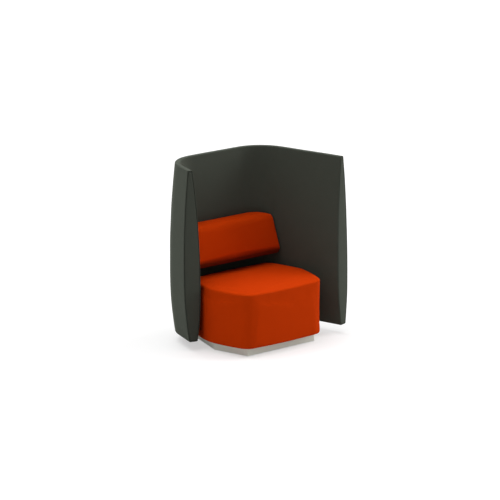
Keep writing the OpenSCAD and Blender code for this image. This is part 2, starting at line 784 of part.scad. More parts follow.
module cushion_form() {
    low_r = lumbar_bottom_r;
    low = [
        for (a = [-90 : 30 : -30]) let(e = 1 - cos(a))
            lumbar_ring(lumbar_z + low_r * (1 + sin(a)),
                low_r * e, lumbar_low_end_r * e, lumbar_low_rear_r * e)
    ];
    body_h = lumbar_h - low_r - lumbar_top_r;
    middle = [for (t = [0 : 0.25 : 1]) lumbar_ring(lumbar_z + low_r + body_h * t, 0, 0, 0)];
    high = [
        for (a = [22.5 : 22.5 : 90]) let(e = 1 - cos(a))
            lumbar_ring(lumbar_top_z - lumbar_top_r * (1 - sin(a)),
                lumbar_top_r * e, lumbar_end_r * e, lumbar_top_rear_r * e)
    ];
    top_c = [0, (lumbar_front_y(lumbar_top_z) + lumbar_back_y) / 2];
    low_c = [0, (lumbar_front_y(lumbar_z) + lumbar_back_y) / 2];
    k = 0.6;
    crown = shrink(high[len(high) - 1], k, top_c, lumbar_top_crown * (1 - k * k));
    skin(concat(low, middle, high, [crown]),
        [0, low_c.y, lumbar_z], [0, top_c.y, lumbar_top_z + lumbar_top_crown]);
}

// Places of the bolts that hold the cushion, with +Z out of the back
module cushion_bolt_places()
    for (x = [-lumbar_bolt_x, lumbar_bolt_x], z = lumbar_bolt_z)
        translate([x, screen_back_y, z]) rotate([-90, 0, 0]) children();

module back_cushion() color(seat_cloth) at_seat() difference() {
    cushion_form();
    translate([
        -lumbar_board_w / 2 - soft_gap, lumbar_board_y - soft_gap, lumbar_board_z - soft_gap
    ]) cube([lumbar_board_w + 2 * soft_gap, lumbar_bottom_d, lumbar_board_h + 2 * soft_gap]);
}

// Moves the front face of the cushion's board to height 0 of each bolt's place
module at_board_front() cushion_bolt_places()
    translate([0, 0, lumbar_board_y - screen_back_y]) children();

module cushion_board() color(ply_color) at_seat() difference() {
    translate([0, lumbar_board_y + lumbar_board_t, lumbar_board_z + lumbar_board_h / 2])
        rotate([90, 0, 0]) linear_extrude(lumbar_board_t)
            window(lumbar_board_w, lumbar_board_h, lumbar_board_r);
    at_board_front() translate([0, 0, -cut_over]) {
        cylinder(r = cushion_nut_r + bore_gap, h = lumbar_board_t + 2 * cut_over);
        cylinder(r = nut_flange_r + bore_gap, h = nut_flange_t + bore_gap + cut_over);
    }
}

module cushion_nuts() color(steel_color) at_seat() at_board_front() difference() {
    union() {
        cylinder(r = nut_flange_r, h = nut_flange_t);
        cylinder(r = cushion_nut_r, h = lumbar_board_t - shank_gap);
    }
    translate([0, 0, -cut_over])
        cylinder(r = bolt_r + thread_gap, h = lumbar_board_t + cut_over);
}

module cushion_bolts() color(steel_color) at_seat() {
    reach = screen_back_y - lumbar_board_y + board_t / 2;
    at_board_front() {
        translate([0, 0, shank_gap]) cylinder(r = bolt_r, h = reach);
        translate([0, 0, reach]) cylinder(r = bolt_head_r, h = bolt_head_h);
    }
}

seat_cover();
seat_foam();
seat_webbing();
seat_deck();
seat_center_rail();
carcass_board(0);  // carcass_front
carcass_board(1);  // carcass_front_right
carcass_board(2);  // carcass_rear_right
carcass_board(3);  // carcass_rear
carcass_board(4);  // carcass_rear_left
carcass_board(5);  // carcass_front_left
carcass_blocks();
base_board();
dust_cover();
plinth_board(0);  // plinth_front
plinth_board(1);  // plinth_front_right
plinth_board(2);  // plinth_rear_right
plinth_board(3);  // plinth_rear
plinth_board(4);  // plinth_rear_left
plinth_board(5);  // plinth_front_left
plinth_blocks();
plinth_screws();
glide_nuts();
glide_foot(0);  // glide_foot_front_left
glide_foot(1);  // glide_foot_front_right
glide_foot(2);  // glide_foot_rear_right
glide_foot(3);  // glide_foot_rear_left
glide_stud(0);  // glide_stud_front_left
glide_stud(1);  // glide_stud_front_right
glide_stud(2);  // glide_stud_rear_right
glide_stud(3);  // glide_stud_rear_left
screen_back_core();
wing_core(false);  // screen_left_core
wing_core(true);  // screen_right_core
corner_core(false);  // screen_left_corner
corner_core(true);  // screen_right_corner
screen_dowels();
screen_outer_pad();
screen_inner_pad();
screen_top_strip();
screen_bottom_strip();
screen_end(false);  // screen_left_end
screen_end(true);  // screen_right_end
screen_base_bolts();
screen_barrel_nuts();
rear_arm(false);  // rear_arm_left
rear_arm(true);  // rear_arm_right
side_arm(false);  // side_arm_left
side_arm(true);  // side_arm_right
arm_screws();
back_cushion();
cushion_board();
cushion_bolts();
cushion_nuts();
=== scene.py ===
import json
import math

import bpy
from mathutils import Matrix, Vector, noise


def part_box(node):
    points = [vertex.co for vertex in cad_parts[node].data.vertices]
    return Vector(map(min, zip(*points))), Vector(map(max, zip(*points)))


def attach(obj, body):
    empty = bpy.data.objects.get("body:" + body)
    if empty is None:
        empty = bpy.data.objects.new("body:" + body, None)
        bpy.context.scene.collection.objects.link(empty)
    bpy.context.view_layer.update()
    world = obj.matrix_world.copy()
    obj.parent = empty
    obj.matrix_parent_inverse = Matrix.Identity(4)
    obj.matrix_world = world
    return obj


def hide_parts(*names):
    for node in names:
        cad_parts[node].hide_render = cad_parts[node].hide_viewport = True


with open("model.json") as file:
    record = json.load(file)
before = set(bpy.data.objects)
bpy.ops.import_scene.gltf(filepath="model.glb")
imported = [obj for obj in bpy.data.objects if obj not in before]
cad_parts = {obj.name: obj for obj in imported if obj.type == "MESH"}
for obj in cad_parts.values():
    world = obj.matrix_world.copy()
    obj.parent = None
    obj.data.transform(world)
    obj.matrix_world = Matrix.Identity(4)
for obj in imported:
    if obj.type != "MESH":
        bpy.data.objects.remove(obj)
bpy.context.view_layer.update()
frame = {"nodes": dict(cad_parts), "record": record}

# Sizes in metres. Levels and places come from the frame, forms from the values here.

# The seat's cover, bowed along its front and its sides
SEAT_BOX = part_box("seat_cover")
SEAT_X = (SEAT_BOX[0].x + SEAT_BOX[1].x) / 2
FRONT_BOW = 0.013
SIDE_BOW = 0.006
# Its widths at the front and in the middle, and its depths before and behind the middle
FRONT_W, MID_W = 0.676, 0.864
FRONT_D, REAR_D = 0.320, 0.305
SEAT_Y = SEAT_BOX[0].y + FRONT_D + FRONT_BOW
FRONT_R, MID_R, REAR_R = 0.098, 0.240, 0.090
SEAT_BOTTOM_Z = SEAT_BOX[0].z
SEAT_TOP_Z = 0.452
SEAT_TOP_R, SEAT_BOTTOM_R = 0.014, 0.012
SEAT_CROWN = 0.008
SIDE_DRAW = 0.003
# How far inside the solid the cover is drawn, before it is stuffed
COVER_SHY = 0.002
# The most that stuffing moves the cover, and how much of it is held at the bottom
SEAT_SWELL, SEAT_HELD = 0.004, 0.004

# What the seat holds inside and carries below: foam, straps, plinth and dust cloth
FOAM_INSET = 0.0285
FOAM_EDGE_R, FOAM_CROWN, FOAM_DRAW = 0.006, 0.004, 0.0015
STRAP_W, STRAP_T, STRAP_PITCH = 0.050, 0.0012, 0.092
STRAP_RISE, STRAP_INSET = 0.00115, 0.060
PLINTH_INSET = 0.053
BLOCK_LEG = 0.098
DUST_GAP, DUST_SAG, DUST_STEP = 0.002, 0.004, 0.02

# The screen: plan path and lens-shaped section
SPLAY = math.radians(15.5)
HALF_W = 0.5245
BACK_Y = 0.462
CORNER_R = 0.249
LEFT_L, RIGHT_L = 0.368, 0.702
SCREEN_TOP_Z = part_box("screen_top_strip")[1].z
SCREEN_BOTTOM_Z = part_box("screen_bottom_strip")[0].z
WAIST_Z, WAIST_T = 0.470, 0.1226
TOP_T, BOTTOM_T = 0.034, 0.062
# The power by which it thins away from its waist, its lean outwards and the rake of its ends
FULLNESS = 2.2
LEAN = 0.009
END_RAKE = 0.026
EDGE_R = 0.008
END_T = 0.010
# The cover turns in round each end panel and leaves a narrow groove.
RIM_R, GROOVE_W, GROOVE_DEPTH = 0.0022, 0.0044, 0.0095
RIM_LIP, RIM_LIP_DEPTH = 0.0003, 0.0012
PANEL_CROWN, PANEL_CROWN_W = 0.0008, 0.012
BOARD_T = 0.018

# The back cushion: its underside's level, its height, and its depth at its bottom and top
LUMBAR_Z, LUMBAR_H = 0.521, 0.288
LUMBAR_BOTTOM_D, LUMBAR_TOP_D = 0.2055, 0.126
LUMBAR_END_GAP = 0.011
LUMBAR_TOP_R = 0.032
# The roll below it: its height and its depth
LUMBAR_ROLL_H, LUMBAR_ROLL_D = 0.085, 0.056
LUMBAR_END_R, LUMBAR_TOP_REAR_R = 0.028, 0.006
LUMBAR_LOW_END_R, LUMBAR_LOW_REAR_R = 0.012, 0.005
LUMBAR_FRONT_R = 0.014
# How far its top falls towards its ends, and by what power of the width
LUMBAR_FALL, LUMBAR_FALL_POWER = 0.010, 12
LUMBAR_CROWN, LUMBAR_TOP_CROWN = 0.006, 0.004
# How far its rear corners keep clear of the screen, and the least radius of a front corner
LUMBAR_CLEAR = 0.004
LEAST_R = 0.002
# The crown's share at the face's top and bottom, and four times what its middle adds
LUMBAR_EDGE_SHARE, LUMBAR_ARCH_SHARE = 0.4, 2.4
# The most that stuffing moves the cover, and how much of it is held at the back
LUMBAR_SWELL, LUMBAR_HELD = 0.0015, 0.02
SOFT_GAP = 0.0003

SPLAY_TAN = math.tan(SPLAY)
WING_DIR = Vector((math.sin(SPLAY), -math.cos(SPLAY)))
WING_OUT = Vector((math.cos(SPLAY), math.sin(SPLAY)))
CORNER_Y = BACK_Y - CORNER_R
CORNER_X = (HALF_W * WING_OUT.x - CORNER_R - WING_OUT.y * CORNER_Y) / WING_OUT.x
CORNER_CUT = CORNER_R * math.tan((math.pi / 2 - SPLAY) / 2)
SCREEN_H = SCREEN_TOP_Z - SCREEN_BOTTOM_Z


# Plan geometry
def left_of(v):
    return Vector((-v.y, v.x))


def meet(p, u, q, v):
    return p + u * ((q - p).cross(v) / u.cross(v))


def sides(pts):
    n = len(pts)
    return [(pts[(i + 1) % n] - pts[i]).normalized() for i in range(n)]


def inset(pts, d):
    """The corners of polygon pts with side i moved inwards by d[i]."""
    dirs = sides(pts)
    out = []
    for i, p in enumerate(pts):
        u, v = dirs[i - 1], dirs[i]
        out.append(meet(p + left_of(u) * d[i - 1], u, p + left_of(v) * d[i], v))
    return out


def outline(pts, radii, bows, arc_steps, side_steps):
    """A rounded and bowed outline, evenly stepped along its sides."""
    n = len(pts)
    dirs = sides(pts)
    half = [math.atan(4 * bows[i] / (pts[(i + 1) % n] - pts[i]).length) for i in range(n)]

    def corner(i, f):
        u, v, r = dirs[i - 1], dirs[i], radii[i]
        c = meet(pts[i] + left_of(u) * r, u, pts[i] + left_of(v) * r, v)
        out = -left_of(u)
        start = math.atan2(out.y, out.x) + half[i - 1]
        turn = math.acos(max(-1, min(1, u.dot(v)))) - half[i - 1] - half[i]
        a = start + f * turn
        return c + Vector((math.cos(a), math.sin(a))) * r

    ring = []
    for i in range(n):
        ring += [corner(i, k / arc_steps[i]) for k in range(arc_steps[i] + 1)]
        a, b = corner(i, 1), corner((i + 1) % n, 0)
        out = -left_of(dirs[i])
        for k in range(1, side_steps[i]):
            t = k / side_steps[i]
            ring.append(a + (b - a) * t + out * (4 * bows[i] * t * (1 - t)))
    return ring


# Meshes
def new_object(name, verts, faces, smooth=True):
    mesh = bpy.data.meshes.new(name)
    mesh.from_pydata([tuple(v) for v in verts], [], faces)
    mesh.validate()
    mesh.update()
    obj = bpy.data.objects.new(name, mesh)
    bpy.context.scene.collection.objects.link(obj)
    for p in mesh.polygons:
        p.use_smooth = smooth
    return obj


def ring_quads(count, n):
    """Quads between count rings of n points each."""
    faces = []
    for i in range(count - 1):
        for j in range(n):
            a, b = i * n + j, i * n + (j + 1) % n
            faces.append((a, b, b + n, a + n))
    return faces


def skin(name, rings, low, high):
    """A skin through rings of equal count, closed with a fan at each end."""
    n = len(rings[0])
    verts = [v for r in rings for v in r] + [low, high]
    faces = ring_quads(len(rings), n)
    top = (len(rings) - 1) * n
    faces += [((j + 1) % n, j, len(verts) - 2) for j in range(n)]
    faces += [(top + j, top + (j + 1) % n, len(verts) - 1) for j in range(n)]
    return new_object(name, verts, faces)


def grid_cap(verts, faces, loop, start, across, crown, up):
    """Closes a loop of vertices with an even grid of quads that rises by crown in its middle."""
    n = len(loop)
    along = n // 2 - across
    turned = loop[start:] + loop[:start] + [loop[start]]
    low = turned[:across + 1]
    right = turned[across:across + along + 1]
    high = turned[across + along:2 * across + along + 1][::-1]
    left = turned[2 * across + along:][::-1]
    rows = [low]
    for j in range(1, along):
        v = j / along
        row = [left[j]]
        for i in range(1, across):
            u = i / across
            p = verts[low[i]] * (1 - v) + verts[high[i]] * v
            p += verts[left[j]] * (1 - u)
            p += verts[right[j]] * u
            p -= (verts[low[0]] * (1 - u) + verts[low[-1]] * u) * (1 - v)
            p -= (verts[high[0]] * (1 - u) + verts[high[-1]] * u) * v
            p.z += crown * 16 * u * (1 - u) * v * (1 - v)
            row.append(len(verts))
            verts.append(p)
        rows.append(row + [right[j]])
    rows.append(high)
    for j in range(along):
        for i in range(across):
            quad = (rows[j][i], rows[j][i + 1], rows[j + 1][i + 1], rows[j + 1][i])
            faces.append(quad if up else quad[::-1])


def padded_form(name, rings, start, across, crown):
    """A closed form from rings, with grids of quads for its crowned top and flat underside."""
    n = len(rings[0])
    verts = [v for r in rings for v in r]
    faces = ring_quads(len(rings), n)
    grid_cap(verts, faces, list(range(n)), start, across, crown=0.0, up=False)
    top = (len(rings) - 1) * n
    grid_cap(verts, faces, list(range(top, top + n)), start, across, crown, up=True)
    return new_object(name, verts, faces)


def rounded(degrees):
    """How far in and how far up a rounded edge is there, as shares of its radius."""
    a = math.radians(degrees)
    return 1 - math.cos(a), math.sin(a)


def at_seat(p, z):
    """A point of the plan, in the frame and at height z."""
    return Vector((p.x + SEAT_X, p.y + SEAT_Y, z))


def apply_modifiers(obj):
    bpy.context.view_layer.update()
    evaluated = obj.evaluated_get(bpy.context.evaluated_depsgraph_get())
    mesh = bpy.data.meshes.new_from_object(evaluated)
    old = obj.data
    obj.modifiers.clear()
    obj.data = mesh
    mesh.name = obj.name
    bpy.data.meshes.remove(old)


def subdivide(obj):
    m = obj.modifiers.new("subsurf", "SUBSURF")
    m.levels = m.render_levels = 1
    apply_modifiers(obj)


def ease(obj, amount, size, seed):
    """Slow unevenness of hand-stretched cloth, along the normals."""
    mesh = obj.data
    normals = [v.normal.copy() for v in mesh.vertices]
    # Each seed reads the noise at a place of its own.
    offset = Vector((seed * 7.3, seed * 3.1, seed * 5.7))
    for v, n in zip(mesh.vertices, normals):
        v.co += n * (amount * noise.noise(v.co / size + offset))
    mesh.update()


def stuff(obj, cap, pinned, pressure, frames=20):
    """Presses the cover outwards with simulated cloth; no point moves past cap."""
    rest = [v.co.copy() for v in obj.data.vertices]
    group = obj.vertex_groups.new(name="held")
    for v in obj.data.vertices:
        w = pinned(v.co)
        if w > 0:
            group.add([v.index], w, "REPLACE")
    cloth = obj.modifiers.new("cloth", "CLOTH")
    cloth.settings.quality = 6
    cloth.settings.mass = 0.3
    cloth.settings.tension_stiffness = 40
    cloth.settings.compression_stiffness = 40
    cloth.settings.shear_stiffness = 20
    cloth.settings.bending_stiffness = 4
    cloth.settings.use_pressure = True
    cloth.settings.uniform_pressure_force = pressure
    cloth.settings.vertex_group_mass = "held"
    cloth.settings.effector_weights.gravity = 0
    cloth.collision_settings.use_collision = False
    cloth.point_cache.frame_start = 1
    cloth.point_cache.frame_end = frames
    scene = bpy.context.scene
    for f in range(1, frames + 1):
        scene.frame_set(f)
    apply_modifiers(obj)
    scene.frame_set(1)
    for v, r in zip(obj.data.vertices, rest):
        d = v.co - r
        if d.length > cap:
            v.co = r + d * (cap / d.length)
    obj.data.update()


# Screen: its section, and its path from wing to wing
def half_t(z):
    """Half the screen's thickness at height z."""
    up = z > WAIST_Z
    span = SCREEN_TOP_Z - WAIST_Z if up else WAIST_Z - SCREEN_BOTTOM_Z
    end = (TOP_T if up else BOTTOM_T) / 2
    u = abs(z - WAIST_Z) / span
    return WAIST_T / 2 - (WAIST_T / 2 - end) * u ** FULLNESS


def lean(z):
    """How far out the middle of the section leans at height z."""
    return LEAN * ((z - SCREEN_BOTTOM_Z) / SCREEN_H - 0.5)


def screen_face(z, side):
    """How far out of its middle line the screen's outer (1) or inner (-1) face lies at height z."""
    return side * half_t(z) + lean(z)


def edge_arc(side, up, steps=6):
    """The rounded top or bottom edge of one side, from its face to its flat."""
    z = SCREEN_TOP_Z - EDGE_R if up else SCREEN_BOTTOM_Z + EDGE_R
    face = screen_face(z, side)
    out = []
    for k in range(steps + 1):
        a = math.pi / 2 * k / steps
        out.append((
            face + side * EDGE_R * (math.cos(a) - 1),
            z + (1 if up else -1) * EDGE_R * math.sin(a),
        ))
    return out


def face_line(side, rows):
    z0, z1 = SCREEN_BOTTOM_Z + EDGE_R, SCREEN_TOP_Z - EDGE_R
    levels = [z0 + (z1 - z0) * k / rows for k in range(1, rows)]
    return [(screen_face(z, side), z) for z in levels]


def screen_section(rows=84, across=5):
    """The closed section, as (offset, z), from the bottom up the outside and down the inside."""
    def flat(a, b):
        return [(a[0] + (b[0] - a[0]) * k / across, a[1]) for k in range(1, across)]
    up_out, up_in = edge_arc(1, True), edge_arc(-1, True)
    low_out, low_in = edge_arc(1, False), edge_arc(-1, False)
    loop = low_out[::-1] + face_line(1, rows) + up_out
    loop += flat(up_out[-1], up_in[-1])
    loop += up_in[::-1] + face_line(-1, rows)[::-1] + low_in
    loop += flat(low_in[-1], low_out[-1])
    return loop


def wing_length(right, z):
    """Straight length of a wing at height z, out to the raked face of its end panel."""
    full = (RIGHT_L if right else LEFT_L) - CORNER_CUT
    return full + (SCREEN_TOP_Z - z) * END_RAKE / SCREEN_H


def path_point(kind, right, f, offset, z, cut=END_T):
    """A point of the screen: share f along one stretch, at an offset out of its middle."""
    sign = 1 if right else -1
    if kind == "wing":
        start = Vector((CORNER_X, CORNER_Y)) + WING_OUT * (CORNER_R + offset)
        p = start + WING_DIR * ((wing_length(right, z) - cut) * f)
    elif kind == "corner":
        a = SPLAY + (math.pi / 2 - SPLAY) * f
        p = Vector((CORNER_X, CORNER_Y)) + Vector((math.cos(a), math.sin(a))) * (CORNER_R + offset)
    else:
        p = Vector((CORNER_X * f, BACK_Y + offset))
    return at_seat(Vector((sign * p.x, p.y)), z)


def screen_stations(spacing=0.012):
    """(kind, right, share) from the left wing's end round to the right wing's end."""
    arc = CORNER_R * (math.pi / 2 - SPLAY)
    counts = {
        "left": round((LEFT_L - CORNER_CUT) / spacing),
        "right": round((RIGHT_L - CORNER_CUT) / spacing),
        "corner": round(arc / spacing),
        "back": round(CORNER_X / spacing),
    }
    out = [("wing", False, 1 - k / counts["left"]) for k in range(counts["left"])]
    out += [("corner", False, k / counts["corner"]) for k in range(counts["corner"])]
    out += [("back", False, 1 - k / counts["back"]) for k in range(counts["back"])]
    out += [("back", True, k / counts["back"]) for k in range(counts["back"])]
    out += [("corner", True, 1 - k / counts["corner"]) for k in range(counts["corner"])]
    out += [("wing", True, k / counts["right"]) for k in range(counts["right"] + 1)]
    return out


def drawn_in(d, z, draw):
    """A point of the section, drawn in towards its middle; only its ends move in height."""
    middle_z = (SCREEN_TOP_Z + SCREEN_BOTTOM_Z) / 2
    end_power = 24
    dz = draw * (abs(z - middle_z) / (SCREEN_H / 2)) ** end_power
    mid = lean(z)
    return mid + (d - mid) * (1 - draw / half_t(z)), z - math.copysign(dz, z - middle_z)


def turned_edge(steps=4):
    """(draw, depth) round a quarter turn from the side of an edge to its face."""
    turns = [math.pi / 2 * k / steps for k in range(steps + 1)]
    return [(RIM_R * (1 - math.cos(a)), RIM_R * (1 - math.sin(a))) for a in turns]


def end_ring(right, section, draw, depth):
    """A loop round one end of the screen, drawn in and set back from the end's face."""
    return [path_point("wing", right, 1, *drawn_in(d, z, draw), depth) for d, z in section]


def make_screen_cover():
    section = screen_section()
    rings = []
    for kind, right, f in screen_stations():
        rings.append([path_point(kind, right, f, d, z) for d, z in section])
    # The rims round the end panels
    lip = RIM_R + RIM_LIP
    rim = turned_edge() + [(lip, RIM_LIP_DEPTH), (lip, GROOVE_DEPTH)]
    for right in (False, True):
        turned = [end_ring(right, section, draw, depth) for draw, depth in rim]
        rings = rings + turned if right else turned[::-1] + rings
    low, high = (sum(ring, Vector((0, 0, 0))) / len(section) for ring in (rings[0], rings[-1]))
    obj = skin("screen_cover", rings, low, high)
    ease(obj, amount=0.0009, size=0.16, seed=1)
    return obj


def make_screen_end(right):
    """An end panel: a lens-shaped padded board, set in the cover's rim."""
    name = "screen_end_panel_" + ("right" if right else "left")
    section = screen_section(across=1)
    inner = RIM_R + GROOVE_W
    profile = [(inner, GROOVE_DEPTH)] + [(inner + draw, depth) for draw, depth in turned_edge()]
    profile += [(inner + PANEL_CROWN_W * f, -PANEL_CROWN * f) for f in (0.5, 1)]
    rings = [end_ring(right, section, draw, depth) for draw, depth in profile]
    n = len(section)
    verts = [v for r in rings for v in r]
    faces = ring_quads(len(rings), n)
    # Close the face and the back with quads across the lens
    for base, flip in ((0, True), ((len(rings) - 1) * n, False)):
        for j in range(n // 2 - 1):
            q = (base + j, base + j + 1, base + n - 2 - j, base + n - 1 - j)
            faces.append(q[::-1] if flip else q)
    if not right:
        faces = [face[::-1] for face in faces]
    return new_object(name, verts, faces)


# Seat
def seat_corners():
    rear_w = MID_W - 2 * REAR_D * SPLAY_TAN
    return [
        Vector((-FRONT_W / 2, -FRONT_D)), Vector((FRONT_W / 2, -FRONT_D)),
        Vector((MID_W / 2, 0)), Vector((rear_w / 2, REAR_D)),
        Vector((-rear_w / 2, REAR_D)), Vector((-MID_W / 2, 0)),
    ]


def seat_ring(e, z):
    """The cover's outline at height z, set in by e."""
    radii = [r - e for r in (FRONT_R, FRONT_R, MID_R, REAR_R, REAR_R, MID_R)]
    bows = [FRONT_BOW, SIDE_BOW, SIDE_BOW] * 2
    arc_steps = [12, 12, 10] * 2
    side_steps = [40, 20, 20] * 2
    pts = outline(inset(seat_corners(), [e] * 6), radii, bows, arc_steps, side_steps)
    return [at_seat(p, z) for p in pts]


def make_seat():
    """The seat's cover, stuffed from the drawn form."""
    low, high = SEAT_BOTTOM_Z + SEAT_BOTTOM_R, SEAT_TOP_Z - SEAT_TOP_R
    rings = []
    for k in range(5):
        draw, rise = rounded(18 * k - 90)
        z = SEAT_BOTTOM_Z + SEAT_BOTTOM_R * (1 + rise)
        rings.append(seat_ring(COVER_SHY + SEAT_BOTTOM_R * draw, z))
    rows = 30
    for k in range(rows + 1):
        t = k / rows
        rings.append(seat_ring(COVER_SHY + SIDE_DRAW * 4 * t * (1 - t), low + (high - low) * t))
    for k in range(1, 9):
        draw, rise = rounded(11.25 * k)
        rings.append(seat_ring(COVER_SHY + SEAT_TOP_R * draw, high + SEAT_TOP_R * rise))
    obj = padded_form("seat_upholstery", rings, start=6, across=52, crown=SEAT_CROWN)
    held_z = SEAT_BOTTOM_Z + SEAT_HELD
    stuff(obj, SEAT_SWELL, lambda p: 1.0 if p.z < held_z else 0.0, pressure=3)
    ease(obj, amount=0.0008, size=0.12, seed=2)
    subdivide(obj)
    return obj


def foam_ring(e, z, radius=0.02, bow=0.001, arc_steps=4, side_steps=8):
    shape = [[value] * 6 for value in (radius, bow, arc_steps, side_steps)]
    return [at_seat(p, z) for p in outline(inset(seat_corners(), [e] * 6), *shape)]


def make_foam():
    """The foam block inside the cover, its edges eased and its top softly crowned."""
    low, high = (corner.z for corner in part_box("seat_foam"))
    levels = []
    for k in range(5):
        draw, rise = rounded(22.5 * k - 90)
        levels.append((FOAM_EDGE_R * draw, low + FOAM_EDGE_R * (1 + rise)))
    for k in range(1, 4):
        levels.append((FOAM_DRAW * math.sin(math.pi * k / 4), low + (high - low) * k / 4))
    for k in range(5):
        draw, rise = rounded(22.5 * k)
        levels.append((FOAM_EDGE_R * draw, high - FOAM_EDGE_R * (1 - rise)))
    rings = [foam_ring(FOAM_INSET + draw, z) for draw, z in levels]
    return padded_form("foam_block", rings, start=2, across=12, crown=FOAM_CROWN)


def strap_reach(pts, at, axis):
    """The least and the most of the other axis inside a polygon, where axis is at."""
    found = []
    for i, p in enumerate(pts):
        q = pts[(i + 1) % len(pts)]
        if (p[axis] - at) * (q[axis] - at) < 0:
            t = (at - p[axis]) / (q[axis] - p[axis])
            found.append(p[1 - axis] + (q[1 - axis] - p[1 - axis]) * t)
    return min(found), max(found)


def make_webbing():
    """Elastic straps over the deck, woven over and under each other."""
    pts = inset(seat_corners(), [STRAP_INSET] * 6)
    middle_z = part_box("seat_webbing")[0].z + STRAP_RISE + STRAP_T / 2
    verts, faces = [], []
    # The axis across the straps, and how many lie on each side of the middle one
    for axis, count in ((1, 2), (0, 3)):
        for k in range(-count, count + 1):
            place = k * STRAP_PITCH
            ends = [strap_reach(pts, place + side * STRAP_W / 2, axis) for side in (-1, 1)]
            low, high = max(e[0] for e in ends), min(e[1] for e in ends)
            sign = (1 if axis else -1) * (-1) ** k
            steps = 60
            for i in range(steps + 1):
                run = low + (high - low) * i / steps
                z = middle_z + sign * STRAP_RISE * math.cos(math.pi * run / STRAP_PITCH)
                for side, up in ((-1, -1), (1, -1), (1, 1), (-1, 1)):
                    across = place + side * STRAP_W / 2
                    x, y = (run, across) if axis else (across, run)
                    verts.append(at_seat(Vector((x, y)), z + up * STRAP_T / 2))
            last = 4 * steps
            quads = [(0, 3, 2, 1), (last, last + 1, last + 2, last + 3)] + ring_quads(steps + 1, 4)
            base = len(verts) - 4 * (steps + 1)
            flip = 1 if axis else -1
            faces += [tuple(base + j for j in quad)[::flip] for quad in quads]
    return new_object("seat_straps", verts, faces, smooth=False)


def clip(pts, p, u):
    """The part of polygon pts to the left of the line through p along u."""
    out = []
    for i, a in enumerate(pts):
        b = pts[(i + 1) % len(pts)]
        da, db = u.cross(a - p), u.cross(b - p)
        if da >= 0:
            out.append(a)
        if da * db < 0:
            out.append(a + (b - a) * (da / (da - db)))
    return out


def make_dust_cloth():
    """A thin cloth tacked under the base inside the plinth, sagging a little."""
    reach = BACK_Y + BOARD_T / 2 + PLINTH_INSET
    corners = seat_corners()
    rear_x = MID_W / 2 - reach * SPLAY_TAN
    corners[3:5] = [Vector((rear_x, reach)), Vector((-rear_x, reach))]
    blocks = inset(corners, [PLINTH_INSET + BOARD_T] * 6)
    dirs = sides(blocks)
    pts = inset(seat_corners(), [PLINTH_INSET + BOARD_T + DUST_GAP] * 6)
    for i, c in enumerate(blocks):
        near, far = c + dirs[i] * BLOCK_LEG, c - dirs[i - 1] * BLOCK_LEG
        pts = clip(pts, near, (near - far).normalized())
    rim = []
    for i, p in enumerate(pts):
        q = pts[(i + 1) % len(pts)]
        steps = max(2, round((q - p).length / DUST_STEP))
        rim += [p + (q - p) * (k / steps) for k in range(steps)]
    low_z, high_z = (corner.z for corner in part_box("dust_cover"))
    rows = 12
    shares = [k / rows for k in range(1, rows + 1)]
    layers = [(low_z, f) for f in shares] + [(high_z, f) for f in reversed(shares)]
    rings = [[at_seat(p * f, z - DUST_SAG * (1 - f * f)) for p in rim] for z, f in layers]
    low, high = (at_seat(Vector((0, 0)), z - DUST_SAG) for z in (low_z, high_z))
    obj = skin("base_dust_cloth", rings, low, high)
    xs, ys = [p.x for p in pts], [p.y for p in pts]
    area = sum(p.cross(pts[(i + 1) % len(pts)]) for i, p in enumerate(pts)) / 2
    return obj, (max(xs) - min(xs), max(ys) - min(ys)), area


# Back cushion
LUMBAR_BACK_Y = BACK_Y - WAIST_T / 2 - SOFT_GAP
LUMBAR_SIDE = (HALF_W * WING_OUT.x - WAIST_T / 2 - LUMBAR_END_GAP) / WING_OUT.x
LUMBAR_CORNER = Vector((LUMBAR_SIDE - LUMBAR_BACK_Y * SPLAY_TAN, LUMBAR_BACK_Y))


def lumbar_front_y(z):
    """Where the raked front face lies at height z."""
    t = (z - LUMBAR_Z) / LUMBAR_H
    return LUMBAR_BACK_Y - LUMBAR_BOTTOM_D * (1 - t) - LUMBAR_TOP_D * t


def lumbar_rear_r(z):
    """The rear corner radius that keeps clear of the screen's curve at height z."""
    reach = (LUMBAR_CORNER - Vector((CORNER_X, CORNER_Y))).length
    room = CORNER_R + screen_face(z, -1) - LUMBAR_CLEAR
    return (reach - room) / (1 / math.cos((math.pi / 2 - SPLAY) / 2) - 1)


def lumbar_ring(z, front_e, end_e, rear_e):
    """The cushion's outline at height z, with its front, ends and rear set in."""
    y = lumbar_front_y(z)
    x = LUMBAR_SIDE - y * SPLAY_TAN
    rear_left = Vector((-LUMBAR_CORNER.x, LUMBAR_CORNER.y))
    corners = [Vector((-x, y)), Vector((x, y)), LUMBAR_CORNER, rear_left]
    pts = inset(corners, [front_e, end_e, rear_e, end_e])
    front_r = max(LUMBAR_FRONT_R - front_e, LEAST_R)
    rear_r = lumbar_rear_r(z) - end_e
    t = (z - LUMBAR_Z) / LUMBAR_H
    radii = [front_r, front_r, rear_r, rear_r]
    bows = [LUMBAR_CROWN * (LUMBAR_EDGE_SHARE + LUMBAR_ARCH_SHARE * t * (1 - t)), 0, 0, 0]
    arc_steps, side_steps = [6, 6, 18, 18], [70, 8, 58, 8]
    ring = []
    for q in outline(pts, radii, bows, arc_steps, side_steps):
        fall = LUMBAR_FALL / LUMBAR_H * abs(q.x / x) ** LUMBAR_FALL_POWER
        ring.append(at_seat(q, LUMBAR_Z + (z - LUMBAR_Z) * (1 - fall)))
    return ring


